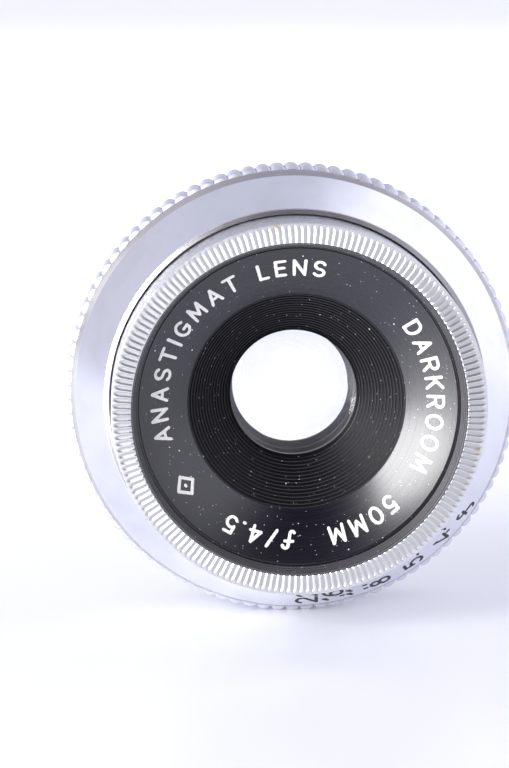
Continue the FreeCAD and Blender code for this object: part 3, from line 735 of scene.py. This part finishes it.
LETTER_BASE = 12.12
LETTER_TOP = 13.48
LETTER_PEN = 0.17
LETTER_HEIGHT = 0.03
WORDS = (
    # text, angle of its start, angle of its end
    ("ANASTIGMAT LENS", 165.0, 281.0),
    ("DARKROOM", 324.0, 389.0),
    ("50MM", 45.5, 76.0),
    ("f/4.5", 91.5, 121.0),
    ("*", 140.0, 148.0),
)


def make_lettering(material):
    """Pale filled lettering on the dished face, tops outward, read clockwise."""
    slope = (Vector(FACE_OUTER) - Vector(FACE_INNER)).normalized()
    forward = Vector((-slope.y, slope.x))
    middle = (LETTER_BASE + LETTER_TOP) / 2
    size = (LETTER_TOP - LETTER_BASE) / slope.x
    base = Vector(FACE_INNER) + slope * ((LETTER_BASE - FACE_INNER[0]) / slope.x)
    vertices = []
    faces = []
    for text, start, end in WORDS:
        room = math.radians(end - start) * middle
        letters = sum(GLYPHS[c][0] for c in text) * size
        gap = (room - letters) / max(1, len(text) - 1) / size
        first = math.radians(start)

        def place(u, v, lift):
            spot = base + slope * v + forward * lift
            return point(spot.x, first + u / middle, spot.y)

        write(vertices, faces, text, size, gap, LETTER_PEN, LETTER_HEIGHT, place)
    piece = finish_mesh("lettering", vertices, faces, material)
    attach(piece, "barrel")
    return piece


RIBS = 14
# Where the ribs start, where the smooth ring at their foot starts, and where it ends, as (r, z).
THROAT_TOP = (10.1, 12.27)
THROAT_LAND = (6.32, 7.36)
THROAT_FOOT = (5.99, 6.93)
# Width of the strips at both edges of the smooth ring that take bare steel, a painted highlight
# line.
HIGHLIGHT_STRIP = 0.07
RIB_CREST = 0.28
# One rib's outline, in shares of its step inwards and of its step to the rear.
RIB_SHAPE = ((0.0, 0.0), (RIB_CREST, 0.12), (0.33, 0.9), (0.7, 1.12), (0.93, 0.98))
CELL_BORE = 6.55
CELL_SEAT = 6.0


def make_throat(material, crest_highlight_material, highlight_strip_material):
    """Black throat and smooth foot ring; paler crests and ring edges are painted highlights."""
    top = Vector(THROAT_TOP)
    land = Vector(THROAT_LAND)
    foot = Vector(THROAT_FOOT)
    step = (land - top) / RIBS
    ribs = []
    for i in range(RIBS):
        crest = top + step * i
        ribs += [crest + Vector((step.x * inward, step.y * back)) for inward, back in RIB_SHAPE]
    # The edge strips stand for the thin light line at the ring's edges: a painted highlight.
    highlight_offset = (foot - land).normalized() * HIGHLIGHT_STRIP
    ribs += [land, land + highlight_offset, foot - highlight_offset]
    body = [
        THROAT_FOOT,
        (THROAT_FOOT[0] + 0.02, 6.56),
        (CELL_BORE, 6.54),
        (CELL_BORE, CELL_REAR),
        (CELL_BORE + 1.85, CELL_REAR),
        (CELL_BORE + 1.85, CELL_SEAT),
        (12.6, CELL_SEAT),
        (12.6, 10.25),
        (13.9, 10.25),
        (13.9, 10.95),
        (10.1, 10.98),
        (10.11, 12.2),
    ]
    outline = [tuple(p) for p in ribs] + body
    piece = lathe("ribbed_throat", outline, material, even_angles(256), crease=40)
    piece.data.materials.append(crest_highlight_material)
    piece.data.materials.append(highlight_strip_material)
    for face in piece.data.polygons:
        r, z = place_of(face)
        # The edge strips take bare steel and the crests a paler black: painted highlight lines.
        if foot.x < r < land.x and foot.y < z < land.y:
            if not foot.x + HIGHLIGHT_STRIP < r < land.x - HIGHLIGHT_STRIP:
                face.material_index = 2
        elif land.x < r < top.x and z > land.y - 0.1:
            if (r - top.x) / step.x % 1.0 < RIB_CREST:
                face.material_index = 1
    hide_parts("front_cell")
    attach(piece, "barrel")
    return piece


# ---------------------------------------------------------------- mount and rear

THREAD = 19.5
THREAD_PITCH = 0.977
# Rings of points to one pitch of the thread, so that the helix is smooth.
THREAD_ROWS = 10
# The valleys are V-shaped, half a valley wide in pitches, and cut off flat at the thread's depth.
THREAD_HALF = 0.42
THREAD_VALLEY = 0.62
THREAD_DEPTH = 0.55
# The thread starts a little behind the flange, fades in, and ends in a chamfer.
THREAD_START = 0.25
THREAD_FADE = 0.5
THREAD_CHAMFER = 0.45
BEARING = 15.3
CLICK_NECK = 15.0
REAR_COLUMNS = 288
# Half the width of a spanner slot, in columns of points, and its depth.
SLOT_COLUMNS = 7
SLOT_DEPTH = 0.55


def make_mount(material):
    """Flange, screw thread cut as a true helix, hollow rear and the inner bearing tube."""
    rows = int(-BARREL_REAR / THREAD_PITCH * THREAD_ROWS)
    thread = [(THREAD, BARREL_REAR * (1 - i / rows)) for i in range(rows + 1)]
    body = soften(
        [
            (THREAD, -0.001),
            (FLANGE, 0.0),
            (FLANGE, 1.05),
            (FLANGE - 0.4, 1.45),
            (BEARING, 1.45),
            (BEARING, CLICK - 0.6),
            (CLICK_NECK, CLICK - 0.4),
            (CLICK_NECK, CLICK + 0.4),
            (BEARING, CLICK + 0.6),
            (BEARING, BEARING_END),
            (14.7, 6.32),
            (14.7, 10.2),
            (12.7, 10.2),
            (12.7, -0.2),
            (11.35, -0.2),
            (11.35, -2.6),
            (13.9, -2.6),
            (13.9, -1.2),
            (17.8, -1.2),
            (17.8, BARREL_REAR),
        ],
        0.07,
    )
    # The first corner is the end of the thread, so its four rounding points are left out.
    outline = thread + body[4:]

    def helix(r, z, index):
        if abs(r - THREAD) > 0.001:
            return r, z
        turn = (z / THREAD_PITCH - index / REAR_COLUMNS) % 1.0
        valley = max(0.0, 1 - abs(turn - 0.5) / THREAD_HALF)
        fade = min(1.0, max(0.0, (-z - THREAD_START) / THREAD_FADE))
        chamfer = max(0.0, THREAD_CHAMFER - (z - BARREL_REAR))
        return r - min(THREAD_DEPTH, valley * THREAD_VALLEY) * fade - chamfer, z

    piece = lathe("mount_barrel", outline, material, even_angles(REAR_COLUMNS), helix, 32)
    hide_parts("main_barrel")
    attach(piece, "barrel")
    return piece


def make_rear_tube(material):
    """Rear cell with two spanner slots in its back edge."""
    outline = soften(
        [
            (5.95, -0.3),
            (11.25, -0.3),
            (11.25, -4.7),
            (10.8, -5.15),
            (10.8, TAIL_REAR),
            (10.1, TAIL_REAR),
            (8.85, TAIL_REAR),
            (6.7, -5.3),
            (6.7, -0.95),
            (5.95, -0.95),
        ],
        0.06,
    )
    half_turn = REAR_COLUMNS // 2

    def spanner_slot(r, z, index):
        from_slot = min(index % half_turn, half_turn - index % half_turn)
        if from_slot <= SLOT_COLUMNS and r > 8.0 and z < TAIL_REAR + 0.25:
            return r, z + SLOT_DEPTH
        return r, z

    piece = lathe("rear_tube", outline, material, even_angles(REAR_COLUMNS), spanner_slot, 32)
    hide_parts("rear_cell")
    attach(piece, "barrel")
    return piece


# ---------------------------------------------------------------- glass

NEARLY_FLAT = 4000.0
ELEMENTS = (
    # piece, CAD node, edge radius, front face, rear face; a face is (vertex, curve, clear radius)
    ("front_glass", "front_element", 6.5, (7.68, 16, 6.45), (5.35, NEARLY_FLAT, 6.4)),
    ("second_glass", "second_element", 6.5, (4.3, -45, 6.1), (3.6, 22, 5.8)),
    ("rear_inner_glass", "rear_inner_element", 6.65, (-1.25, -53, 5.4), (-2.05, 19.5, 6.1)),
    ("rear_outer_glass", "rear_outer_element", 6.65, (-2.06, 19.5, 6.3), (-5.0, -21, 6.5)),
)


def face_profile(vertex, curve, radius, steps=14):
    """Points of a spherical face from the axis out; curve is + where the centre is to the rear."""
    points = []
    for i in range(steps + 1):
        r = radius * i / steps
        sag = abs(curve) - math.sqrt(curve * curve - r * r)
        points.append((r, vertex - math.copysign(sag, curve)))
    return points


def make_glass(material):
    """The four glass elements, solid on the axis."""
    for name, node, radius, front, rear in ELEMENTS:
        fore = face_profile(*front)
        back = face_profile(*rear)
        outline = fore + [(radius, fore[-1][1]), (radius, back[-1][1])] + back[::-1]
        piece = lathe(name, outline, material, even_angles(128), crease=20, hollow=False)
        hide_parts(node)
        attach(piece, "barrel")


# ---------------------------------------------------------------- floor, light, camera

FLOOR_HALF = 3000.0
SWEEP_START = 1500.0
SWEEP_RADIUS = 1500.0
SWEEP_STEP = 6
SWEEP_STEPS = 8


def make_stage():
    """A wide pale floor that curves up far behind the lens."""
    material, tree, shader = new_material("floor_white")
    place = place_node(tree)
    cloud = noise_mask(tree, place, 0.02, 0.3, 0.7)
    shade = mix_colour(tree, cloud, (0.84, 0.85, 0.91), (0.86, 0.87, 0.92))
    tree.links.new(shade, shader.inputs["Base Color"])
    shader.inputs["Roughness"].default_value = 0.3
    shader.inputs["Emission Color"].default_value = (0.95, 0.96, 1.0, 1)
    shader.inputs["Emission Strength"].default_value = 0.11
    profile = [(-FLOOR_HALF, 0.0), (SWEEP_START, 0.0)]
    for i in range(1, SWEEP_STEPS + 1):
        t = math.radians(SWEEP_STEP * i)
        rise = SWEEP_RADIUS * (1 - math.cos(t))
        profile.append((SWEEP_START + SWEEP_RADIUS * math.sin(t), rise))
    vertices = []
    for y, rise in profile:
        for x in (-FLOOR_HALF, FLOOR_HALF):
            vertices.append(Vector((x, y, rise - RIM)) * MM)
    faces = [(2 * i, 2 * i + 1, 2 * i + 3, 2 * i + 2) for i in range(len(profile) - 1)]
    floor = finish_mesh("floor", vertices, faces, material, crease=60)


def heading(azimuth, elevation):
    """A direction from the lens: azimuth 0 is straight ahead of it and 90 is to its right."""
    turn = math.radians(azimuth)
    rise = math.radians(elevation)
    return (math.sin(turn) * math.cos(rise), -math.cos(turn) * math.cos(rise), math.sin(rise))


STUDIO_BASE = (0.65, 0.655, 0.765)
STUDIO_PATCHES = (
    # azimuth, elevation, full inside, gone outside, red, green, blue
    (86, 28, 34, 54, 0.6, 0.6, 0.64),
    (-112, 12, 34, 52, 0.06, 0.05, 0.04),
    (-147, 6, 9, 22, 1.1, 1.1, 1.1),
    (13, 7, 6, 18, 0.4, 0.39, 0.34),
    (-15, -4, 6, 20, -0.18, -0.19, -0.24),
    (172, 46, 12, 28, -0.2, -0.2, -0.2),
    (3, 50, 19, 36, -0.64, -0.65, -0.75),
)


def make_world():
    """Even studio light with brighter and darker areas round the lens."""
    world = bpy.data.worlds.new("studio")
    world.use_nodes = True
    tree = world.node_tree
    background = tree.nodes["Background"]
    coordinates = tree.nodes.new("ShaderNodeTexCoord")
    total = None
    for azimuth, elevation, inside, outside, red, green, blue in STUDIO_PATCHES:
        toward = tree.nodes.new("ShaderNodeVectorMath")
        toward.operation = "DOT_PRODUCT"
        toward.inputs[1].default_value = heading(azimuth, elevation)
        tree.links.new(coordinates.outputs["Generated"], toward.inputs[0])
        edge = math.cos(math.radians(outside))
        full = math.cos(math.radians(inside))
        tint = tree.nodes.new("ShaderNodeVectorMath")
        tint.operation = "MULTIPLY_ADD"
        tint.inputs[0].default_value = (red, green, blue)
        tint.inputs[2].default_value = STUDIO_BASE
        soft = map_range(tree, toward.outputs["Value"], edge, full, interpolation="SMOOTHSTEP")
        tree.links.new(soft, tint.inputs[1])
        if total:
            tree.links.new(total, tint.inputs[2])
        total = tint.outputs["Vector"]
    tree.links.new(total, background.inputs["Color"])
    bpy.context.scene.world = world


def add_light(name, direction, distance, width, height, power, target=(0, 0, 0)):
    """A soft white rectangular light, in metres and watts, that faces the lens or a target."""
    data = bpy.data.lights.new(name, "AREA")
    data.shape = "RECTANGLE"
    data.size = width
    data.size_y = height
    data.energy = power
    lamp = bpy.data.objects.new(name, data)
    lamp.location = Vector(direction).normalized() * distance
    lamp.rotation_mode = "QUATERNION"
    lamp.rotation_quaternion = (Vector(target) - lamp.location).to_track_quat("-Z", "Y")
    lamp.visible_camera = False
    bpy.context.scene.collection.objects.link(lamp)


def make_light():
    make_world()
    add_light("key_left", heading(-49, 9), 0.3, 0.155, 0.24, 1.5)
    add_light("sweep_light", (0.0, 0.3, 0.5), 0.6, 1.2, 0.5, 14.0, (0, 1.2, -0.02))


CAMERA_TURN = -2.757
CAMERA_RISE = 9.65
CAMERA_LENS = 130.36
# The camera's distances are in a unit of which the rim's radius has 24.5.
CAMERA_UNIT = RIM / 24.5 * MM
CAMERA_DISTANCE = 300
CAMERA_ASIDE = 4.21
CAMERA_ABOVE = 0.98


def make_camera():
    """Long lens, a little above the optical axis and a little to its left."""
    turn = math.radians(CAMERA_TURN)
    rise = math.radians(CAMERA_RISE)
    right = Vector((math.cos(turn), math.sin(turn), 0))
    towards = Vector((math.sin(turn), -math.cos(turn), 0))
    back = math.cos(rise) * towards + math.sin(rise) * Vector((0, 0, 1))
    up = back.cross(right)
    data = bpy.data.cameras.new("camera")
    data.lens = CAMERA_LENS
    data.sensor_width = 36
    data.clip_start = 0.01
    data.clip_end = 10
    camera = bpy.data.objects.new("camera", data)
    shift = back * CAMERA_DISTANCE - right * CAMERA_ASIDE + up * CAMERA_ABOVE
    spot = point(0, 0, CONE_REAR[1]) + shift * CAMERA_UNIT
    turned = Matrix((right, up, back)).transposed().to_4x4()
    camera.matrix_world = Matrix.Translation(spot) @ turned
    bpy.context.scene.collection.objects.link(camera)
    bpy.context.scene.camera = camera


# ---------------------------------------------------------------- put it together

# Rubbed spots on the knurl: radius, angle in degrees, distance forward.
RUBBED = ((16.6, 262.0, 17.0), (16.6, 14.0, 17.0))
BLADES = 8


def dress(material, *nodes):
    """Give CAD nodes another material."""
    for node in nodes:
        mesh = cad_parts[node].data
        mesh.materials.clear()
        mesh.materials.append(material)


def main():
    scene = bpy.context.scene
    scene.view_settings.view_transform = "Standard"

    # colour, roughness and its spread, pitch and strength of the tool marks
    turned = metal("turned_aluminium", (0.82, 0.83, 0.89), 0.24, 0.05, 0.05, 0.12, lean=0.6)
    edge = metal("edge_aluminium", (0.60, 0.58, 0.57), 0.3, 0.05, 0.05, 0.1)
    plain = metal("plain_aluminium", (0.6, 0.6, 0.63), 0.33, 0.06, 0.12, 0.15)
    bronze = metal("dark_bronze", (0.2, 0.155, 0.13), 0.5, 0.05, 0.12, 0.08)
    satin = metal("satin_aluminium", (0.77, 0.78, 0.86), 0.5, 0.05, 0.12, 0.15)
    brass = metal("machined_brass", (0.72, 0.56, 0.28), 0.32, 0.06, 0.1, 0.15)
    steel = metal("machined_steel", (0.5, 0.5, 0.52), 0.3, 0.06, 0.1, 0.15)
    blade = metal("blackened_steel", (0.12, 0.12, 0.13), 0.42, 0.05, 0.3, 0.1)
    # The knurl grooves' darker colour is painted shade; their roughness and tool marks are their
    # finish.
    grooved = metal("groove_metal_painted_shade", (0.6, 0.6, 0.6), 0.38, 0.12, 0.14, 0.6)
    spots = [tuple(point(r, math.radians(angle), z) / MM) for r, angle, z in RUBBED]
    chrome = worn_chrome("bright_plating", spots)
    # colour, roughness, gloss, strength of the tool marks
    enamel = dusty_black("black_enamel", (0.005, 0.004, 0.009), 0.265, 0.95, 0.012)
    # Paler than the enamel as painted sheen on the rim's steps, with dust.
    rim_black_painted_sheen = dusty_black("rim_black_painted_sheen", (0.066, 0.063, 0.07), 0.4, 1.0, 0.03)
    # The crests' paler black, with dust, is a painted highlight line.
    crest = dusty_black("rib_crest_painted_highlight", (0.034, 0.032, 0.038), 0.5, 0.22, 0.03)
    matte = dusty_black("matte_black", (0.004, 0.004, 0.005), 0.42, 0.28, 0.06)
    cream = paint("cream_paint", (0.97, 0.95, 0.9), 0.5)
    black_paint = paint("black_paint", (0.02, 0.02, 0.022), 0.5)
    glass = polished_glass("coated_glass")

    make_bezel(chrome, grooved)
    make_scale_ring(turned, edge, satin)
    make_scale_numbers(black_paint)
    make_index_mark(black_paint)
    make_name_plate(enamel, rim_black_painted_sheen)
    make_lettering(cream)
    # The blade steel on the edges of the throat's foot ring is a painted highlight line.
    make_throat(matte, crest, blade)
    make_mount(plain)
    make_rear_tube(matte)
    make_glass(glass)

    dress(matte, "rear_retaining_ring")
    dress(bronze, "front_retaining_ring")
    dress(plain, "element_spacer")
    dress(brass, "iris_retaining_ring", "cam_ring")
    dress(steel, "drive_screw", "click_screw", "click_ball", "click_spring")
    dress(blade, "iris_base_plate", *(f"iris_blade_{i}" for i in range(1, BLADES + 1)))

    make_stage()
    make_light()
    make_camera()


main()
